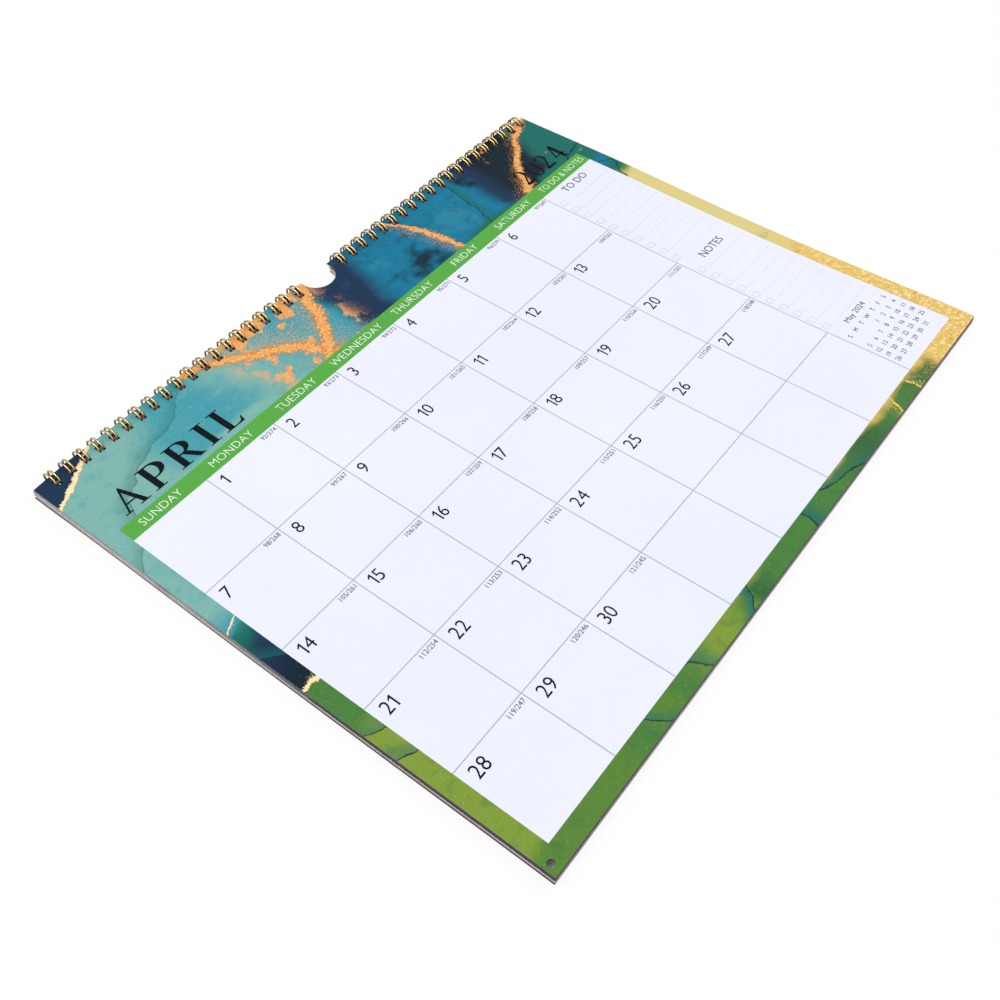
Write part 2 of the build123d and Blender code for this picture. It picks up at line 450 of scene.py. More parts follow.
def marbled_ink(inks):
    """Sea green and blue along the top, green down the side, gold towards the free corner."""
    finish = Finish("border_marbling")
    page = Marbling(finish, inks)
    across, down = page.across, page.down
    wide, tall = page_width() / MM, page_height() / MM
    loop_row_middle = 187.8
    top = page.field(
        across, wide,
        (0, inks.sea_green), (44, inks.sea_green), (64, inks.sky), (84, inks.sky), (108, inks.sea_green),
        (140, inks.sky), (168, inks.sky), (182, inks.navy), (198, inks.navy), (210, inks.blue),
        (290, inks.blue), (308, inks.navy), (320, inks.black_blue), (346, inks.black_blue),
        (358, inks.deep_green),
    )
    left = page.field(
        down, tall,
        (60, inks.sea_green), (100, inks.sea_green), (116, inks.sky), (124, inks.deep_green),
        (140, inks.navy), (160, inks.black_blue), (163, inks.leaf_green), (186, inks.leaf_green),
        (200, inks.olive), (272, inks.olive),
    )
    right = page.field(
        down, tall,
        (52, inks.deep_green), (60, inks.deep_green), (66, inks.blue), (79, inks.deep_green),
        (81, inks.moss), (86, inks.straw), (170, inks.straw), (215, inks.foil),
    )
    low = page.field(
        across, wide,
        (0, inks.moss), (44, inks.moss), (64, inks.leaf_green), (84, inks.moss),
        (98, inks.leaf_green), (120, inks.olive), (139, inks.moss), (146, inks.forest),
        (164, inks.leaf_green), (226, inks.leaf_green), (262, inks.forest), (288, inks.leaf_green),
        (322, inks.forest), (336, inks.foil),
    )
    page.colour = finish.mix(across.between(184.0, 188.0), left, right)
    page.colour = finish.mix(down.between(52.0, 46.0), page.colour, top)
    page.over(down.between(279.0, 285.0), low)

    # Smoky depth in the blues and paler clouds in the greens
    smoke = finish.noise(30.0, 3.0, 0.6, vector=page.slow)
    blues = across.between(170.0, 205.0) * down.between(60.0, 40.0) * across.between(wide, 350.0)
    page.over(smoke.between(0.54, 0.68) * blues * 0.92, inks.black_blue)
    page.over(smoke.between(0.44, 0.32) * blues * across.between(310.0, 285.0) * 0.3, inks.sky)
    clouds = finish.noise(24.0, 2.0, vector=page.slow)
    greens = across.between(170.0, 120.0) * down.between(130.0, 100.0)
    page.over(clouds.between(0.52, 0.72) * greens * 0.6, inks.sea_green)
    page.over(clouds.between(0.48, 0.34) * greens * 0.5, inks.sky)
    page.over((page.sand - 0.5).between(0.0, 0.25) * greens * 0.35, inks.sea_green)
    specked = (greens + down.between(150.0, 160.0)).limited()
    page.over(page.sand.between(0.71, 0.76) * specked * 0.5, inks.pale_gold)

    # Fine mottling over all of them
    mottle = finish.noise(150.0, 4.0, 0.62)
    spots = mottle.between(0.50, 0.68)
    page.over(spots * greens * 0.35, inks.sky)
    page.over(mottle.between(0.46, 0.30) * greens * 0.30, inks.sea_green)
    page.over(spots * down.between(155.0, 165.0) * 0.28, inks.forest)
    page.over(spots * blues * 0.30, inks.navy)

    # Creases where two inks met
    page.crease(page.line(26, 49, 88, 0), 0.35, 0.25)
    page.crease(page.line(0, 196, 30, 208))
    page.crease(page.line(60, 280, 74, 295))
    page.crease(page.line(98, 280, 108, 295), 0.5, 0.7)
    page.crease(page.line(290, 0, 276, 49), 0.8)
    page.crease(page.line(134, 295, 148, 280), 0.8)
    page.crease(page.line(362, 84, 372, 72), 0.6, 0.9, across.between(350.0, 355.0))
    page.crease(page.line(362, 66, 372, 74), 0.0, 0.8, across.between(350.0, 355.0))

    # Veins of gold, with drifts of it where they are thickest
    strip = down.between(62.0, 46.0)
    drift = finish.noise(42.0, 4.0, 0.62, vector=page.slow)
    drifts = drift.between(0.535, 0.560) * across.between(104.0, 122.0) * across.between(184.0, 170.0)
    drifts = drifts + drift.between(0.60, 0.63) * across.between(322.0, 332.0)
    dusty = (page.sand + drift.between(0.47, 0.56) * 0.16).between(0.70, 0.76)
    dusty = dusty * drift.between(0.47, 0.52) * strip
    dusty = dusty * across.between(98.0, 112.0) * across.between(190.0, 172.0)
    page.over(dusty, inks.gold)
    page.over(drifts * strip, page.flakes(inks.gold))
    page.vein(page.line(104, 0, 158, 49), 4.2, 26.0, inks.gold, strip)
    page.vein(page.line(146, 49, 178, 0), 4.6, 22.0, inks.gold, strip)
    page.vein(page.line(252, 49, 243, 0), 2.2, 9.0, inks.gold, strip)
    page.vein(page.line(318, 49, 368, 0), 3.6, 12.0, inks.gold, strip)
    page.vein(page.line(30, 112, 0, 118), 0.7, 2.0, inks.pale_gold, across.between(30.0, 10.0))
    page.vein(page.line(0, 160, 30, 166), 1.2, 3.0, inks.pale_gold, across.between(30.0, 10.0))
    page.vein(page.line(286, 295, 292, 280), 0.6, 6.0, inks.foil, down.between(270.0, 280.0))
    page.vein(page.line(304, 280, 306, 295), 0.8, 9.0, inks.foil, down.between(270.0, 280.0))

    # Leaf gold towards the free corner, its crumples paler as painted highlights, with brown specks, and its
    # dust over the green
    crumple = finish.noise(420.0, 4.0, 0.72)
    corner_gold = across.between(322.0, 342.0) * down.between(165.0, 250.0)
    foil_with_highlights = finish.mix(crumple.between(0.48, 0.62), inks.foil, inks.pale_gold)
    dust = page.sand.between(0.56, 0.66) * across.between(296.0, 326.0) * down.between(270.0, 280.0)
    page.over(dust, inks.foil)
    page.over(crumple.between(0.34, 0.50) * corner_gold * 0.9, foil_with_highlights)
    page.over(page.sand.between(0.58, 0.66) * corner_gold * 0.75, inks.umber)

    # Dark corner with a pale gilt edge
    corner = page.line(28, 0, 0, 34)
    page.over(corner.between(0.6, 0.0), inks.navy)
    page.vein(corner, 1.7, 0.5, inks.pale_gold)

    # Painted shade on the paper between the strands of each pair of loops, leaning to one side as the
    # strands stand above the paper
    last_pair = wire_high.x - 1.58 * MM
    up = finish.axis("Y") - leaf_high.y
    lean = up.between(-6 * MM, -1 * MM) * 1.4 * MM
    pairs = ((finish.axis("X") - last_pair - lean) / PITCH + 0.5).maths("FRACT").distance(0.5)
    row = across.between(wide, 366.0) * across.distance(loop_row_middle).between(12.5, 13.5)
    strands = pairs.between(0.17, 0.13) * row * up.between(-6 * MM, -5 * MM)
    page.over(strands * (0.15 + across.between(20.0, 130.0) * 0.72), (0.020, 0.010, 0.006))
    return finish.surface(
        Base_Color=page.colour, Roughness=0.45 + page.grains * 0.1, Specular_IOR_Level=0.08
    )


def flowing_ink(finish, inks):
    """Dark blue and teal marbling with fine veins of gold, for the prints that lie hidden."""
    flow = finish.noise(9.0, 3.0, 0.55, vector=finish.warped(0.05, 16.0))
    stops = (
        (0.36, inks.black_blue), (0.44, inks.navy), (0.50, inks.blue), (0.56, inks.sky),
        (0.62, inks.sea_green),
    )
    ink = finish.ramp(flow, stops)
    grains = finish.noise(750.0, 2.0, 0.7)
    vein = flow.distance(0.475) + (grains - 0.5) * 0.02
    return finish.mix(vein.between(0.007, 0.003), ink, inks.gold)


def page_front(finish, inks, page):
    """Front of another month's leaf: marbled border, weekday bar and ruled grid."""
    across = finish.axis("X") - leaf_low.x
    down = leaf_high.y - finish.axis("Y")
    left, right = page.panel_left, page_width() - page.panel_right
    bottom = page_height() - page.panel_bottom
    rows_top = page.band_top + page.band_height
    grid_right = right - page.notes_width
    columns = (across - left) / ((grid_right - left) / 7)
    rows = (down - rows_top) / ((bottom - rows_top) / page.week_rows)
    soft = 0.1 * MM
    sides = across.between(left, left + soft) * across.between(right, right - soft)
    panel = sides * down.between(bottom, bottom - soft) * down.between(rows_top, rows_top + soft)
    bar = sides * down.between(page.band_top, page.band_top + soft) * down.between(rows_top, rows_top - soft)
    upright = columns.maths("FRACT").distance(0.5).between(0.490, 0.496) * columns.between(7.4, 7.3)
    level = rows.maths("FRACT").distance(0.5).between(0.490, 0.496)
    level = level * across.between(grid_right, grid_right - soft)
    colour = finish.mix(panel, flowing_ink(finish, inks), inks.paper)
    colour = finish.mix(panel * upright.maths("MAXIMUM", level), colour, inks.rule)
    return finish.mix(bar, colour, inks.green)


def stack_edges(name, faces, edge_tone, line_tone, leaf_thickness, bottom, stain, stain_tone):
    """Faces seen from above and below, and cut edges lined where one leaf ends and the next begins.

    The stain is how strongly the bleed of the print darkens the free and left edges.
    """
    finish = Finish(name)
    across, up = finish.axis("X"), finish.axis("Y")
    facing = finish.axis("Z", finish.facing)
    lip = (across - leaf_low.x).maths("MINIMUM", up - leaf_low.y).between(0.4 * MM, 0.2 * MM)
    flat = facing.maths("ABSOLUTE").between(0.4, 0.6) * (1 - lip)
    wobble = finish.noise(14.0, 2.0, vector=finish.stretched((1.0, 1.0, 0.0)))
    height = (finish.attribute("flat_height") - bottom) / leaf_thickness + (wobble - 0.5) * 0.5
    seam = height.maths("FRACT").distance(0.5).between(0.30, 0.46)
    shade = finish.noise(30.0, 3.0, vector=finish.stretched((1.0, 1.0, 0.0)))
    darker = tuple(tone * 0.8 for tone in edge_tone)
    edge = finish.mix(shade.between(0.35, 0.7), edge_tone, darker)
    bleed = (up.between(85 * MM, -60 * MM) + shade.between(0.50, 0.62) * 0.35).limited()
    edge = finish.mix(bleed * stain, edge, stain_tone)
    edge = finish.mix(seam * 0.75, edge, line_tone)
    # Painted shade: the cut edges turn dark brown round the punched holes under the loops, where the deep
    # holes lie in shade.
    row_end = 181 * MM
    holes_foot = leaf_high.y - 7.5 * MM
    holes_head = leaf_high.y - 1.4 * MM
    hole_shade = across.distance(0.0).between(row_end, row_end - 1 * MM)
    hole_shade = hole_shade * up.between(holes_foot, holes_foot + 0.3 * MM)
    hole_shade = hole_shade * up.between(holes_head, holes_head - 0.3 * MM)
    edge = finish.mix(hole_shade * 0.94, edge, (0.030, 0.010, 0.008))
    above, below = faces(finish)
    face = finish.mix(facing.between(-0.2, 0.2), below, above)
    return finish.surface(
        Base_Color=finish.mix(flat, edge, face), Roughness=0.55, Specular_IOR_Level=0.15
    )


def grey_board(edge_tone):
    """Solid grey board with a speckled pulp, and pale paper wrapped over its cut edges."""
    finish = Finish("grey_board")
    flat = finish.axis("Z", finish.facing).maths("ABSOLUTE").between(0.4, 0.6)
    pulp = finish.noise(900.0, 4.0, 0.65)
    tone = finish.mix(pulp.between(0.38, 0.66), (0.34, 0.32, 0.29), (0.56, 0.54, 0.50))
    shade = finish.noise(26.0, 3.0, vector=finish.stretched((1.0, 1.0, 0.0)))
    edge = finish.mix(finish.axis("Y").between(40 * MM, -90 * MM), (0.60, 0.57, 0.56), edge_tone)
    edge = finish.mix(shade.between(0.42, 0.7) * 0.5, edge, (0.68, 0.67, 0.69))
    finish.bump(pulp, 0.4, 0.0001)
    return finish.surface(Base_Color=finish.mix(flat, edge, tone), Roughness=0.86)


def gold_wire(tone, brown):
    """Bright gold-coloured wire, brown with painted shade and dark reflection on its flanks, its underside,
    its far side and towards the holes.
    """
    finish = Finish("gold_wire")
    marks = finish.noise(900.0, 3.0, vector=finish.stretched((6.0, 1.0, 1.0)))
    dull = finish.noise(420.0, 2.0)
    ragged = (dull - 0.5) * (2.2 * MM)
    # Painted shade and dark reflection in brown: lower down towards the holes, on the loops' far side past
    # the leaf's edge, on both flanks of each strand so that only a narrow bright line stays, and on the
    # underside.
    height = finish.axis("Z") + ragged
    behind = finish.axis("Y") + ragged - leaf_high.y
    sideways = finish.axis("X", finish.facing)
    flank = sideways.between(-0.20, 0.25) * 0.95 + sideways.between(-0.66, -0.90) * 0.9
    below = finish.axis("Z", finish.facing).between(0.15, -0.45) * 0.8
    wire_shade = height.between(8.6 * MM, 7.0 * MM) + behind.between(2.0 * MM, 3.6 * MM) * 0.6 + flank + below
    worn = finish.mix(dull.between(0.52, 0.66) * 0.5, tone, tuple(channel * 0.35 for channel in tone))
    finish.bump(marks, 0.15, 0.00002)
    return finish.surface(
        Base_Color=finish.mix(wire_shade.limited() * 0.92, worn, brown),
        Metallic=1.0,
        Roughness=0.16 + dull * 0.1 + marks * 0.05,
    )


# Page geometry


def page_width():
    """Width of the open leaf."""
    return leaf_high.x - leaf_low.x


def page_height():
    """Height of the open leaf."""
    return leaf_high.y - leaf_low.y


def page_place(left, top):
    """Point on the printed face from its distances to the leaf's left and top edges."""
    return Vector((leaf_low.x + left, leaf_high.y - top, ink_high.z))


def sag(point, page):
    """Height by which the stack hangs below flat between the loops and the free edge."""
    across = (point.x - leaf_low.x) / page_width()
    down = (leaf_high.y - point.y) / page_height()
    start = 0.06 + 0.14 * across
    along = min(1.0, max(0.0, (down - start) / (1 - start)))
    bowl = 16 * along**2 * (1 - along) ** 2
    side = max(0.0, (across - 0.7) / 0.3) ** 2
    return (page.hollow + page.side_hollow * min(side, 1.0)) * bowl


def drape(point, page):
    """Height by which the cover and the turned leaves close up to the board beyond the spine."""
    past_loops = leaf_high.y - point.y - 10 * MM
    share = min(1.0, max(0.0, past_loops / (35 * MM)))
    return page.closing * share * share * (3 - 2 * share)


def soften(mesh, angle=math.radians(30)):
    """Smooth shading with sharp edges where faces meet at more than an angle."""
    for face in mesh.faces:
        face.smooth = True
    for edge in mesh.edges:
        edge.smooth = len(edge.link_faces) == 2 and edge.calc_face_angle(0.0) < angle


def add_piece(name, mesh, material, body):
    """Object at the origin from a finished mesh, riding on a body."""
    data = bpy.data.meshes.new(name)
    mesh.to_mesh(data)
    mesh.free()
    data.materials.append(material)
    piece = bpy.data.objects.new(name, data)
    bpy.context.scene.collection.objects.link(piece)
    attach(piece, body)
    return piece


def bent_copy(node, name, material, body, page, draped=False, spacing=10 * MM):
    """The node's sheet cut into strips, bent to the stack's hollow and, on top, bowed at the loops."""
    mesh = bmesh.new()
    mesh.from_mesh(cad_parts[node].data)
    bmesh.ops.remove_doubles(mesh, verts=mesh.verts, dist=0.5e-6)
    low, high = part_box(node)
    for normal in (Vector((1, 0, 0)), Vector((0, 1, 0))):
        start = low.dot(normal)
        count = int((high - low).dot(normal) / spacing)
        for step in range(1, count + 1):
            bmesh.ops.bisect_plane(
                mesh,
                geom=mesh.verts[:] + mesh.edges[:] + mesh.faces[:],
                dist=1e-7,
                plane_co=normal * (start + step * spacing),
                plane_no=normal,
            )
    flat_height = mesh.verts.layers.float.new("flat_height")
    for vert in mesh.verts:
        vert[flat_height] = vert.co.z
        if body == "top_page" and vert.co.y > leaf_high.y - 0.01 * MM:
            from_side = min(vert.co.x - leaf_low.x, leaf_high.x - vert.co.x)
            vert.co.y += page.bow * min(1.0, from_side / page.bow_run)
        vert.co.z -= sag(vert.co, page)
        if draped:
            vert.co.z += drape(vert.co, page)
    soften(mesh)
    piece = add_piece(name, mesh, material, body)
    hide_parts(node)


# Plain figure one with its flag, drawn with a height of one
FLAGGED_ONE = (
    (0.215, 0.0), (0.345, 0.0), (0.345, 1.0), (0.25, 1.0), (0.0, 0.80), (0.0, 0.67), (0.215, 0.82),
)


class Printing:
    """Collects flat printed shapes on the open leaf and makes them one piece."""

    def __init__(self, page):
        self.page = page
        self.mesh = bmesh.new()

    def shape(self, corners):
        """One flat shape from its corners, given from the leaf's left and top edges."""
        self.mesh.faces.new([self.mesh.verts.new(page_place(left, top)) for left, top in corners])

    def bar(self, left, top, width, height):
        """Upright rectangle."""
        self.shape(
            [(left, top + height), (left + width, top + height), (left + width, top), (left, top)]
        )

    def frame(self, left, top, width, height, line):
        """Outline of a box."""
        self.bar(left, top, width, line)
        self.bar(left, top + height - line, width, line)
        self.bar(left, top + line, line, height - 2 * line)
        self.bar(left + width - line, top + line, line, height - 2 * line)

    def words(self, text, left, top, height, align=0.0, narrow=1.0, weight=0.0, rounds=3):
        """Line of plain lettering whose capitals have a height, with align from 0 left to 1 right."""
        curve = bpy.data.curves.new("words", "FONT")
        curve.body = text
        curve.resolution_u = rounds
        curve.offset = weight
        carrier = bpy.data.objects.new("words", curve)
        data = bpy.data.meshes.new_from_object(carrier)
        xs = [vert.co.x for vert in data.vertices]
        size = height / capital_height()
        width = (max(xs) - min(xs)) * size * narrow
        corner = page_place(left - align * width, top + height)
        place = Matrix.Translation(corner) @ Matrix.Diagonal((size * narrow, size, 0.0, 1.0))
        data.transform(place @ Matrix.Translation((-min(xs), 0.0, 0.0)))
        self.mesh.from_mesh(data)
        bpy.data.objects.remove(carrier)
        bpy.data.curves.remove(curve)
        bpy.data.meshes.remove(data)
        return width

    def number(self, value, left, top, height, narrow):
        """Day number set figure by figure, with a flag on each 1."""
        wide = height * narrow
        for figure in str(value):
            if figure == "1":
                self.shape([(left + x * wide, top + (1 - y) * height) for x, y in FLAGGED_ONE])
                left += 0.50 * wide
            else:
                left += self.words(figure, left, top, height, 0.0, narrow, -0.004) + 0.12 * wide

    def finish(self, name, material):
        """Give the shapes their thickness, follow the leaf's curve and make the piece."""
        mesh = self.mesh
        for face in mesh.faces:
            face.normal_update()
            if face.normal.z < 0:
                face.normal_flip()
        bmesh.ops.solidify(mesh, geom=mesh.faces[:], thickness=self.page.ink_depth)
        lowest = min(vert.co.z for vert in mesh.verts)
        for vert in mesh.verts:
            vert.co.z += ink_high.z - lowest - sag(vert.co, self.page)
        return add_piece(name, mesh, material, "top_page")


def capital_height():
    """Height of a capital in the built-in lettering at size one."""
    curve = bpy.data.curves.new("measure", "FONT")
    curve.body = "H"
    carrier = bpy.data.objects.new("measure", curve)
    data = bpy.data.meshes.new_from_object(carrier)
    height = max(vert.co.y for vert in data.vertices)
    bpy.data.objects.remove(carrier)
    bpy.data.curves.remove(curve)
    bpy.data.meshes.remove(data)
    return height


# Serif capitals and figures, drawn with a height of one


class Serif:
    """Draws upright serif letters from stems, thin strokes and bowls."""

    thick = 0.212
    thin = 0.055
    foot = 0.105
    slab = 0.042

    def __init__(self, printing, left, baseline, height):
        self.printing = printing
        self.left = left
        self.baseline = baseline
        self.height = height

    def shape(self, corners):
        """Shape in the letter's own units, upwards from the baseline."""
        self.printing.shape(
            [(self.left + x * self.height, self.baseline - y * self.height) for x, y in corners]
        )

    def stroke(self, start, end, width):
        """Straight stroke with level ends."""
        (x0, y0), (x1, y1) = start, end
        half = width / 2
        self.shape([(x0 - half, y0), (x0 + half, y0), (x1 + half, y1), (x1 - half, y1)])

    def level(self, x0, x1, y, height=None):
        """Level thin stroke or serif."""
        top = y + (height or self.thin)
        self.shape([(x0, y), (x1, y), (x1, top), (x0, top)])

    def stem(self, x):
        """Thick upright with its serifs."""
        self.stroke((x, 0), (x, 1), self.thick)
        reach = self.thick / 2 + self.foot
        self.level(x - reach, x + reach, 0, self.slab)
        self.level(x - reach, x + reach, 1 - self.slab, self.slab)

    def bowl(self, middle, outer, start, end, steps=14, thick=None):
        """Round stroke, thick at the sides and thin at top and bottom."""
        inner = (outer[0] - (thick or self.thick), outer[1] - self.thin)
        angles = [math.radians(start + (end - start) * i / steps) for i in range(steps + 1)]
        rim = [(middle[0] + outer[0] * math.cos(a), middle[1] + outer[1] * math.sin(a)) for a in angles]
        core = [(middle[0] + inner[0] * math.cos(a), middle[1] + inner[1] * math.sin(a)) for a in angles]
        for i in range(steps):
            self.shape([core[i], rim[i], rim[i + 1], core[i + 1]])

    def letter_a(self):
        self.stroke((0.13, 0), (0.472, 0.95), 0.07)
        self.shape([(0.672, 0.0), (0.842, 0.0), (0.505, 1.0), (0.468, 1.0), (0.425, 0.86)])
        self.level(0.23, 0.62, 0.295, 0.055)
        self.level(0.0, 0.27, 0, self.slab)
        self.level(0.55, 0.92, 0, self.slab)

    def letter_p(self):
        self.stem(0.21)
        self.level(0.21, 0.43, 0.945, 0.055)
        self.level(0.21, 0.43, 0.40, 0.055)
        self.bowl((0.43, 0.70), (0.385, 0.30), -90, 90)

    def letter_r(self):
        self.stem(0.21)
        self.level(0.21, 0.43, 0.945, 0.055)
        self.level(0.21, 0.46, 0.455, 0.055)
        self.bowl((0.43, 0.7275), (0.375, 0.2725), -90, 90)
        self.stroke((0.80, 0.0), (0.475, 0.49), 0.20)
        self.level(0.70, 0.935, 0, self.slab)

    def letter_i(self):
        self.stem(0.23)

    def letter_l(self):
        self.stem(0.21)
        self.level(0.21, 0.70, 0, 0.05)
        self.shape([(0.50, 0.045), (0.70, 0.0), (0.735, 0.24), (0.705, 0.24), (0.62, 0.09)])

    def figure_0(self):
        self.bowl((0.31, 0.5), (0.31, 0.5), 0, 360, 28, 0.14)

    def figure_2(self):
        self.bowl((0.29, 0.71), (0.27, 0.29), -25, 165, 14, 0.14)
        self.stroke((0.07, 0.06), (0.49, 0.62), 0.10)
        self.level(0.03, 0.56, 0.0, 0.13)

    def figure_4(self):
        self.stroke((0.43, 0), (0.43, 1), 0.18)
        self.stroke((0.06, 0.28), (0.41, 1.0), 0.07)
        self.level(0.0, 0.62, 0.24, 0.07)
        self.level(0.30, 0.56, 0, 0.045)


def serif_word(printing, drawings, left, baseline, height, advances):
    """Row of serif letters, each with the distance to the next in letter heights."""
    for drawing, advance in zip(drawings, advances):
        drawing(Serif(printing, left, baseline, height))
        left += advance * height


# Operators


def plain_inks(inks):
    """The ink settings as tuples that a node can take."""
    return SimpleNamespace(**{name: tuple(getattr(inks, name)) for name in InkSettings.__annotations__})


class CALENDAR_OT_leaf(bpy.types.Operator):
    """Lay the open leaf, its printed border, weekday bar and ruled lines in a gentle curve"""

    bl_idname = "calendar.leaf"
    bl_label = "Open leaf"

    def execute(self, context):
        page = context.scene.calendar_page
        inks = plain_inks(context.scene.calendar_inks)
        sheets = (
            ("open_leaf", "leaf_sheet", coated_paper("leaf_paper", inks.paper), "leaf_paper"),
            ("border_print", "border_field", marbled_ink(inks), "border_ink"),
            ("weekday_band", "weekday_bar", flat_ink("green_ink", inks.green), "green_ink"),
            ("date_grid", "ruled_lines", flat_ink("rule_ink", inks.rule), "grey_ink"),
        )
        for node, name, material, slot in sheets:
            bent_copy(node, name, material, "top_page", page)
        return {"FINISHED"}


class CALENDAR_OT_title(bpy.types.Operator):
    """Print the month and the year in serif letters over the border"""

    bl_idname = "calendar.title"
    bl_label = "Month and year"

    def execute(self, context):
        page = context.scene.calendar_page
        black = flat_ink("title_ink", tuple(context.scene.calendar_inks.black))
        title = Printing(page)
        month = [Serif.letter_a, Serif.letter_p, Serif.letter_r, Serif.letter_i, Serif.letter_l]
        advances = (1.13, 1.00, 1.125, 0.675, 0.80)
        serif_word(title, month, page.title_left, page.title_baseline, page.title_height, advances)
        title.finish("month_title", black)
        year = Printing(page)
        figures = [Serif.figure_2, Serif.figure_0, Serif.figure_2, Serif.figure_4]
        advances = (0.70, 0.71, 0.80, 0.62)
        serif_word(year, figures, page.year_left, page.year_baseline, page.year_height, advances)
        year.finish("year_title", black)
        return {"FINISHED"}


class CALENDAR_OT_dates(bpy.types.Operator):
    """Print the weekday names, the day numbers and the small day counts"""

    bl_idname = "calendar.dates"
    bl_label = "Dates"

    def execute(self, context):
        page = context.scene.calendar_page
        inks = context.scene.calendar_inks
        column = (page_width() - page.panel_left - page.panel_right - page.notes_width) / 7
        rows_top = page.band_top + page.band_height
        row = (page_height() - page.panel_bottom - rows_top) / page.week_rows

        names = Printing(page)
        calendar.setfirstweekday(calendar.SUNDAY)
        name_top = page.band_top + (page.band_height - page.weekday_height) / 2
        for i in range(7):
            name = calendar.day_name[(i + 6) % 7].upper()
            middle = page.name_middle + i * page.name_pitch
            names.words(name, middle, name_top, page.weekday_height, 0.5, 0.93, -0.014)
        notes_middle = page_width() - page.panel_right - page.notes_width / 2 + 1.2 * MM
        names.words("TO DO & NOTES", notes_middle, name_top, page.weekday_height, 0.5, 0.82, -0.014)
        names.finish("weekday_names", flat_ink("white_ink", (0.87, 0.92, 0.87)))

        numbers = Printing(page)
        counts = Printing(page)
        weeks = calendar.monthcalendar(page.year, page.month)
        days_before = sum(calendar.monthrange(page.year, m)[1] for m in range(1, page.month))
        days_in_year = 366 if calendar.isleap(page.year) else 365
        for week, days in enumerate(weeks):
            for weekday, day in enumerate(days):
                if day == 0:
                    continue
                left = page.panel_left + weekday * column
                top = rows_top + week * row
                numbers.number(day, left + 4.3 * MM, top + 3.3 * MM, page.number_height, 0.92)
                passed = days_before + day
                count = f"{passed}/{days_in_year - passed}"
                counts.words(
                    count, left + column - 1.4 * MM, top + 1.3 * MM, page.count_height, 1.0, 0.92, rounds=2
                )
        numbers.finish("day_numbers", flat_ink("number_ink", tuple(inks.black)))
        counts.finish("day_counts", flat_ink("count_ink", tuple(inks.grey)))
        return {"FINISHED"}


class CALENDAR_OT_notes(bpy.types.Operator):
    """Print the two lists with their boxes and rules, and the next month's small calendar"""

    bl_idname = "calendar.notes"
    bl_label = "Notes and next month"

    def execute(self, context):
        page = context.scene.calendar_page
        inks = context.scene.calendar_inks
        right = page_width() - page.panel_right
        left = right - page.notes_width

        headings = Printing(page)
        lines = Printing(page)
        lists = (("TO DO", 61.5 * MM, 71.0 * MM, 8.4 * MM), ("NOTES", 154.0 * MM, 163.0 * MM, 8.3 * MM))
        lines_in_list = 10
        box_width = 4.3 * MM
        box_height = 4.0 * MM
        rule_width = 38.0 * MM
        for heading, heading_top, first, step in lists:
            headings.words(heading, left + page.notes_width / 2, heading_top, 4.8 * MM, 0.5, 0.92, -0.003)
            for i in range(lines_in_list):
                top = first + i * step - 2.2 * MM
                lines.frame(left + 1.8 * MM, top, box_width, box_height, 0.42 * MM)
                lines.bar(left + 7.2 * MM, top + box_height, rule_width, 0.2 * MM)

        next_year = page.year + page.month // 12
        next_month = page.month % 12 + 1
        name = calendar.month_name[next_month]
        headings.words(f"{name} {next_year}", left + 22.4 * MM, 242.3 * MM, 3.2 * MM, 0.5, 1.06)
        small = 2.7 * MM
        first_middle = left + 4.2 * MM
        day_pitch = 6.4 * MM
        week_pitch = 5.2 * MM
        for i, letter in enumerate("SMTWTFS"):
            headings.words(letter, first_middle + i * day_pitch, 249.3 * MM, small, 0.5, 0.9, rounds=2)
        for week, days in enumerate(calendar.monthcalendar(next_year, next_month)):
            top = 255.1 * MM + week * week_pitch
            for weekday, day in enumerate(days):
                if day:
                    middle = first_middle + weekday * day_pitch
                    headings.words(str(day), middle, top, small, 0.5, 0.9, rounds=2)
        headings.finish("notes_lettering", flat_ink("heading_ink", tuple(inks.grey)))
        lines.finish("notes_lines", flat_ink("faint_ink", tuple(inks.faint)))
        return {"FINISHED"}


class CALENDAR_OT_stack(bpy.types.Operator):
    """Finish the leaves under the open one, the board, the cover and the turned leaves"""

    bl_idname = "calendar.stack"
    bl_label = "Stack"

    def execute(self, context):
        page = context.scene.calendar_page
        inks = plain_inks(context.scene.calendar_inks)
        block_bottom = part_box("remaining_leaves")[0].z
        turned_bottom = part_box("turned_leaves")[0].z
        leaf = 0.2 * MM
        white = (0.66, 0.65, 0.65)
        lilac = (0.62, 0.42, 0.47)
        dark = (0.05, 0.035, 0.04)
        lines = (0.07, 0.06, 0.065)

        def open_up(finish):
            """Next month's page above and plain paper below."""
            return page_front(finish, inks, page), inks.paper

        def turned_down(finish):
            """Plain paper above and an earlier month's page below."""
            return inks.paper, page_front(finish, inks, page)

        def cover_down(finish):
            """Plain card above and marbling below."""
            return inks.paper, flowing_ink(finish, inks)

        bleed = (0.026, 0.020, 0.030)
        block = stack_edges("block_leaves", open_up, white, lines, leaf, block_bottom, 1.0, bleed)
        bleed = (0.30, 0.24, 0.30)
        turned = stack_edges("turned_paper", turned_down, white, lines, leaf, turned_bottom, 0.8, bleed)
        cover = stack_edges("cover_card", cover_down, lilac, dark, 1.0, turned_bottom, 0.9, dark)
        layers = (
            ("remaining_leaves", "leaf_block", block, "page_block", "block_paper"),
            ("back_board", "board_sheet", grey_board(lilac), "binding", "grey_board"),
            ("front_cover", "cover_sheet", cover, "cover", "cover_paper"),
            ("turned_leaves", "turned_block", turned, "turned_pages", "turned_paper"),
        )
        for node, name, material, body, slot in layers:
            bent_copy(node, name, material, body, page, body in ("cover", "turned_pages"))
        return {"FINISHED"}


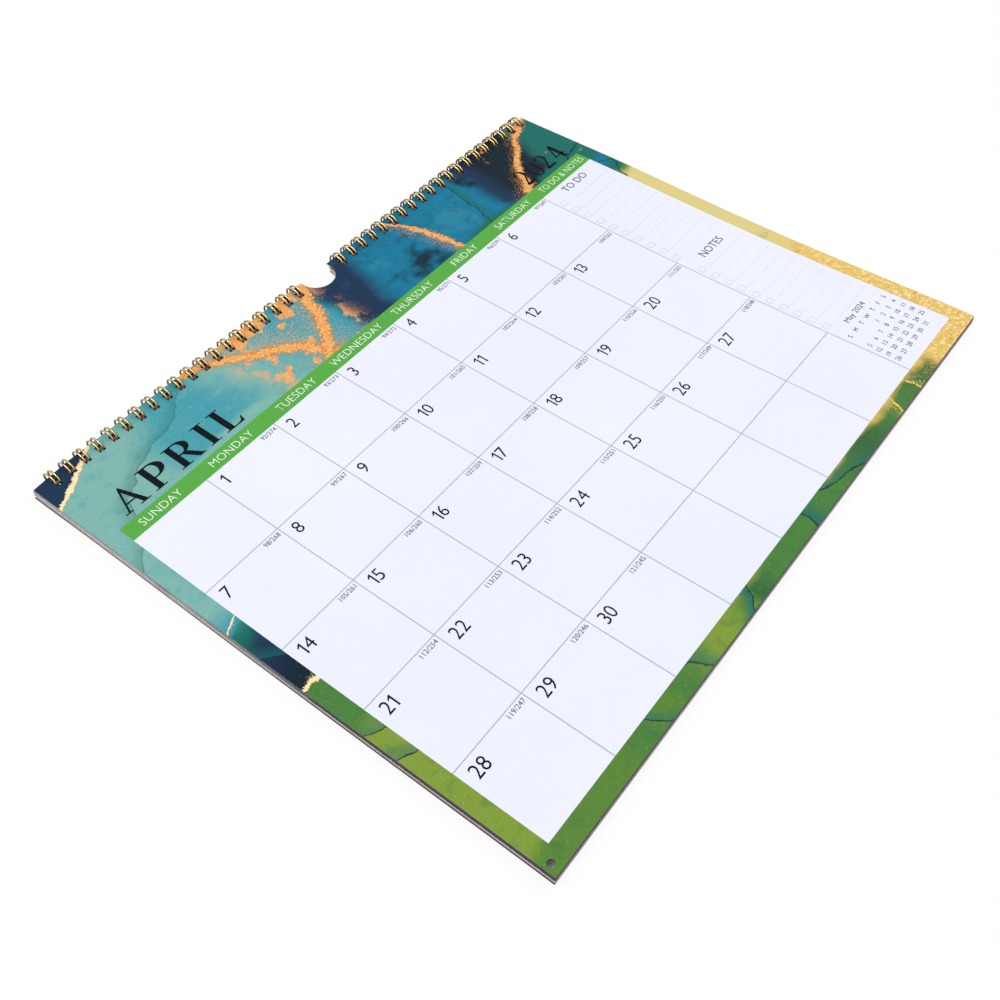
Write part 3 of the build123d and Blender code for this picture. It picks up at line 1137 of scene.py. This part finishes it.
class CALENDAR_OT_wires(bpy.types.Operator):
    """Bend the two lengths of twin-loop wire, with their free sides drawn out a little"""

    bl_idname = "calendar.wires"
    bl_label = "Twin-loop wires"

    def execute(self, context):
        wire = context.scene.calendar_wire
        finish = gold_wire(tuple(wire.gold), tuple(wire.brown))
        for node in ("wire_left", "wire_right"):
            self.bend(node, wire, finish)
        return {"FINISHED"}

    def bend(self, node, wire, finish):
        """One length of wire as a round tube along its centre line."""
        low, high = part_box(node)
        points = self.route(low, high, wire)
        curve = bpy.data.curves.new(node, "CURVE")
        curve.dimensions = "3D"
        curve.bevel_depth = wire.diameter / 2
        curve.bevel_resolution = 3
        curve.use_fill_caps = True
        line = curve.splines.new("POLY")
        line.points.add(len(points) - 1)
        for point, place in zip(line.points, points):
            point.co = (*place, 1.0)
        carrier = bpy.data.objects.new(node, curve)
        data = bpy.data.meshes.new_from_object(carrier)
        bpy.data.objects.remove(carrier)
        bpy.data.curves.remove(curve)
        mesh = bmesh.new()
        mesh.from_mesh(data)
        bpy.data.meshes.remove(data)
        bmesh.ops.recalc_face_normals(mesh, faces=mesh.faces[:])
        soften(mesh, math.radians(50))
        piece = add_piece(f"{node}_bent", mesh, finish, "binding")
        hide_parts(node)

    def route(self, low, high, wire):
        """Points along the wire: for each pair up one loop, round the tip and back."""
        radius = wire.loop_radius
        centre_y = (low.y + high.y) / 2
        centre_z = (low.z + high.z) / 2
        half = wire.pair_spacing / 2
        spine = math.pi + math.asin(wire.spine_drop / radius)
        start = spine - wire.bend / radius
        tip = spine + wire.closing_gap / radius + half / radius - 2 * math.pi
        count = round((high.x - low.x - wire.pair_spacing) / wire.pitch) + 1
        first = (low.x + high.x - (count - 1) * wire.pitch) / 2

        def on_loop(x, angle, ahead=0.0):
            """Point on a loop, moved ahead along it and, on the free side, drawn outwards."""
            outward = max(0.0, math.cos(angle)) * wire.stretch
            y = centre_y + radius * math.cos(angle) - ahead * math.sin(angle) + outward
            z = centre_z + radius * math.sin(angle) + ahead * math.cos(angle)
            return (x, y, z)

        loop_steps = 34
        turn_steps = 8
        bend_steps = 4
        points = []
        for i in range(count):
            x = first + i * wire.pitch
            if i:
                for step in range(bend_steps):
                    turn = math.pi / 2 * step / bend_steps
                    side = x - half - wire.bend * (1 - math.sin(turn))
                    points.append(on_loop(side, start, wire.bend * math.cos(turn)))
            for step in range(loop_steps + 1):
                points.append(on_loop(x - half, start + (tip - start) * step / loop_steps))
            for step in range(1, turn_steps):
                turn = math.pi * step / turn_steps
                points.append(on_loop(x - half * math.cos(turn), tip, -half * math.sin(turn)))
            for step in range(loop_steps + 1):
                points.append(on_loop(x + half, tip + (start - tip) * step / loop_steps))
            if i < count - 1:
                for step in range(1, bend_steps + 1):
                    turn = math.pi / 2 * step / bend_steps
                    side = x + half + wire.bend * (1 - math.cos(turn))
                    points.append(on_loop(side, start, wire.bend * math.sin(turn)))
        return points


class CALENDAR_OT_stage(bpy.types.Operator):
    """Set the floor, the lights, the surroundings and the camera"""

    bl_idname = "calendar.stage"
    bl_label = "Stage"

    def execute(self, context):
        settings = context.scene.calendar_stage
        context.scene.view_settings.view_transform = "Standard"
        self.add_floor(settings)
        self.add_world(context)
        self.add_light("key_light", (-0.7, 0.4, 1.8), 0.8, 16.8)
        self.add_light("fill_light", (0.9, -0.6, 1.6), 1.0, 10.4)
        self.add_camera(context, settings)
        return {"FINISHED"}

    def add_floor(self, settings):
        """Pale floor, white to the eye but in shadow under the calendar."""
        mesh = bmesh.new()
        bmesh.ops.create_grid(mesh, x_segments=1, y_segments=1, size=settings.floor_size / 2)
        bmesh.ops.translate(mesh, verts=mesh.verts, vec=(0.0, 0.0, -0.05 * MM))
        data = bpy.data.meshes.new("floor")
        mesh.to_mesh(data)
        mesh.free()
        floor = bpy.data.objects.new("floor", data)
        bpy.context.scene.collection.objects.link(floor)
        finish = Finish("floor")
        finish.surface(Base_Color=(0.9, 0.9, 0.9), Roughness=0.9)
        bright = finish.node("ShaderNodeEmission", None, {"Color": (1.0, 1.0, 1.0), "Strength": 1.0})
        seen = finish.seen_plainly()
        half_width = page_width() / 2
        half_height = page_height() / 2
        soft = 3 * MM
        under = finish.axis("X").distance(0.0).between(half_width, half_width - soft)
        under = under * finish.axis("Y").distance(0.0).between(half_height, half_height - soft)
        beyond_x = finish.axis("X").distance(settings.notch_view[0])
        beyond_y = finish.axis("Y").distance(settings.notch_view[1])
        notch = (beyond_x * beyond_x + beyond_y * beyond_y).maths("SQRT")
        under = under * notch.between(13 * MM, 17 * MM)
        reach = finish.axis("X").distance(0.0).maths("MAXIMUM", finish.axis("Y").distance(0.0))
        glow = seen * (1 - under) * (0.9 + reach.between(0.35, 0.9) * 0.1)
        blend = finish.node(
            "ShaderNodeMixShader", None, {0: glow, 1: finish.shader.outputs[0], 2: bright.outputs[0]}
        )
        output = finish.tree.nodes["Material Output"]
        finish.feed(output.inputs["Surface"], blend.outputs[0])
        data.materials.append(finish.material)

    def add_world(self, context):
        """White surroundings for the eye and the metal, and a softer light for the rest."""
        surroundings = Surroundings("surroundings")
        light_on_pieces = 0.55
        strength = light_on_pieces + surroundings.seen_plainly() * (1 - light_on_pieces)
        surroundings.feed(surroundings.shader.inputs["Color"], (1.0, 1.0, 1.0))
        surroundings.feed(surroundings.shader.inputs["Strength"], strength)
        context.scene.world = surroundings.world

    def add_light(self, name, place, size, power):
        """Square lamp that faces the middle of the page."""
        lamp = bpy.data.lights.new(name, "AREA")
        lamp.size = size
        lamp.energy = power
        light = bpy.data.objects.new(name, lamp)
        light.location = place
        light.rotation_euler = Vector(place).to_track_quat("Z", "Y").to_euler()
        bpy.context.scene.collection.objects.link(light)

    def add_camera(self, context, settings):
        """Camera at the place that the corners of the leaf give."""
        lens = bpy.data.cameras.new("camera")
        lens.lens = settings.lens
        lens.sensor_width = 36.0
        lens.clip_start = 0.01
        camera = bpy.data.objects.new("camera", lens)
        looking = Vector(settings.looking).normalized()
        upward = Vector(settings.upward)
        right = looking.cross(upward).normalized()
        upward = right.cross(looking)
        turn = Matrix((right, upward, -looking)).transposed()
        corner = Vector((leaf_low.x, leaf_high.y, leaf_high.z))
        camera.matrix_world = Matrix.Translation(corner + Vector(settings.camera)) @ turn.to_4x4()
        context.scene.collection.objects.link(camera)
        context.scene.camera = camera


class CALENDAR_PT_panel(bpy.types.Panel):
    """Buttons for the calendar's pieces"""

    bl_idname = "CALENDAR_PT_panel"
    bl_label = "Wall calendar"
    bl_space_type = "VIEW_3D"
    bl_region_type = "UI"
    bl_category = "Calendar"

    def draw(self, context):
        for operator in OPERATORS:
            self.layout.operator(operator.bl_idname)


SETTINGS = {
    "calendar_page": PageSettings,
    "calendar_inks": InkSettings,
    "calendar_wire": WireSettings,
    "calendar_stage": StageSettings,
}

OPERATORS = (
    CALENDAR_OT_leaf,
    CALENDAR_OT_title,
    CALENDAR_OT_dates,
    CALENDAR_OT_notes,
    CALENDAR_OT_stack,
    CALENDAR_OT_wires,
    CALENDAR_OT_stage,
)


def register():
    """Add the settings, the operators and the panel."""
    for name, group in SETTINGS.items():
        bpy.utils.register_class(group)
        setattr(bpy.types.Scene, name, PointerProperty(type=group))
    for operator in OPERATORS:
        bpy.utils.register_class(operator)
    bpy.utils.register_class(CALENDAR_PT_panel)


def unregister():
    """Take the panel, the operators and the settings away."""
    bpy.utils.unregister_class(CALENDAR_PT_panel)
    for operator in reversed(OPERATORS):
        bpy.utils.unregister_class(operator)
    for name, group in SETTINGS.items():
        delattr(bpy.types.Scene, name)
        bpy.utils.unregister_class(group)


def main():
    """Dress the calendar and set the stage."""
    register()
    bpy.ops.calendar.leaf()
    bpy.ops.calendar.title()
    bpy.ops.calendar.dates()
    bpy.ops.calendar.notes()
    bpy.ops.calendar.stack()
    bpy.ops.calendar.wires()
    bpy.ops.calendar.stage()


if __name__ == "__main__":
    main()
